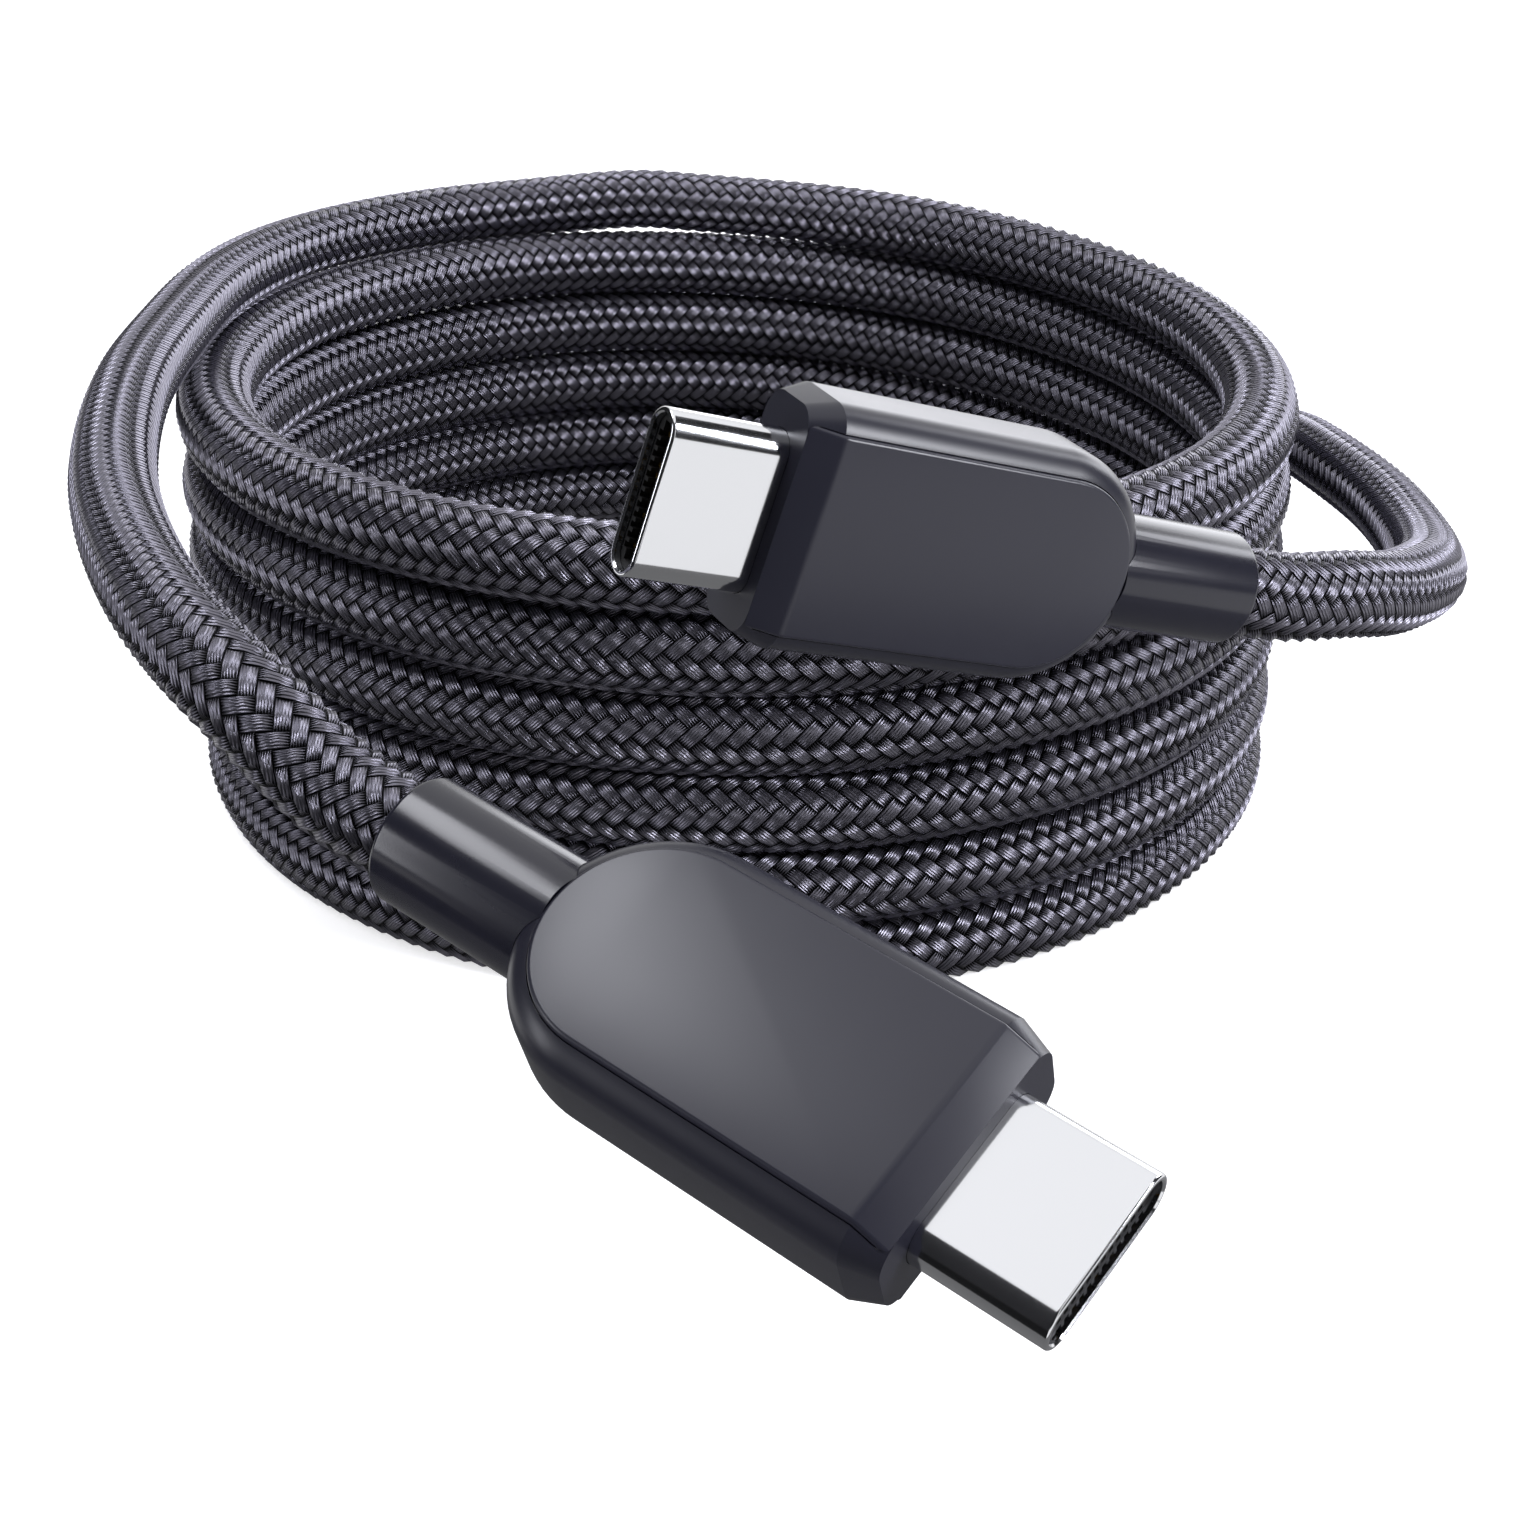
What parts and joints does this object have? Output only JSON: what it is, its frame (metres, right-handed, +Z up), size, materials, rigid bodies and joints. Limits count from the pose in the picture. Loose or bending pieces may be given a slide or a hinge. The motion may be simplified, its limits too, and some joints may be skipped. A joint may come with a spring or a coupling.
{
  "type": "charging cable",
  "caption": "Braided charging cable wound as an upright coil, with a flat-sided moulded plug, a steel connector shell and a strain relief at each end.",
  "frame": {"origin": "on the surface that the coil stands on, under the middle of the whole part's box", "axes": "+Z up, +Y from the plugs towards the back of the coil, +X to the right as seen from the plugs"},
  "size_m": [0.0898, 0.149, 0.0463],
  "materials": {
    "housing_grey": "satin",
    "cover_grey": "satin",
    "relief_grey": "satin",
    "plug_steel": "polished",
    "spring_steel": "satin",
    "gold_plate": "polished",
    "black_insulator": "matte",
    "board_green": "gloss",
    "chip_black": "matte",
    "tinned_can": "satin",
    "inner_mould": "matte",
    "crimp_brass": "satin",
    "braid": "woven nylon",
    "wire_insulation": "matte"
  },
  "bodies": {
    "root": {"front_plug_shell": "plug_steel", "front_insulator": "black_insulator", "front_upper_contacts": "gold_plate", "front_lower_contacts": "gold_plate", "front_ground_springs": "spring_steel", "front_latch_plate": "spring_steel", "front_circuit_board": "board_green", "front_board_chips": "chip_black", "front_can_lid": "tinned_can", "front_can_base": "tinned_can", "front_inner_mould": "inner_mould", "front_side_frame": "housing_grey", "front_top_cover": "cover_grey", "front_bottom_cover": "cover_grey", "front_strain_relief": "relief_grey", "front_crimp_ring": "crimp_brass", "front_cable_tail": "braid", "front_conductors": "wire_insulation", "rear_plug_shell": "plug_steel", "rear_insulator": "black_insulator", "rear_upper_contacts": "gold_plate", "rear_lower_contacts": "gold_plate", "rear_ground_springs": "spring_steel", "rear_latch_plate": "spring_steel", "rear_circuit_board": "board_green", "rear_board_chips": "chip_black", "rear_can_lid": "tinned_can", "rear_can_base": "tinned_can", "rear_inner_mould": "inner_mould", "rear_side_frame": "housing_grey", "rear_top_cover": "cover_grey", "rear_bottom_cover": "cover_grey", "rear_strain_relief": "relief_grey", "rear_crimp_ring": "crimp_brass", "rear_cable_tail": "braid", "rear_conductors": "wire_insulation", "cable_coil": "braid", "front_cable_run": "braid", "rear_cable_run": "braid"}
  },
  "joints": []
}
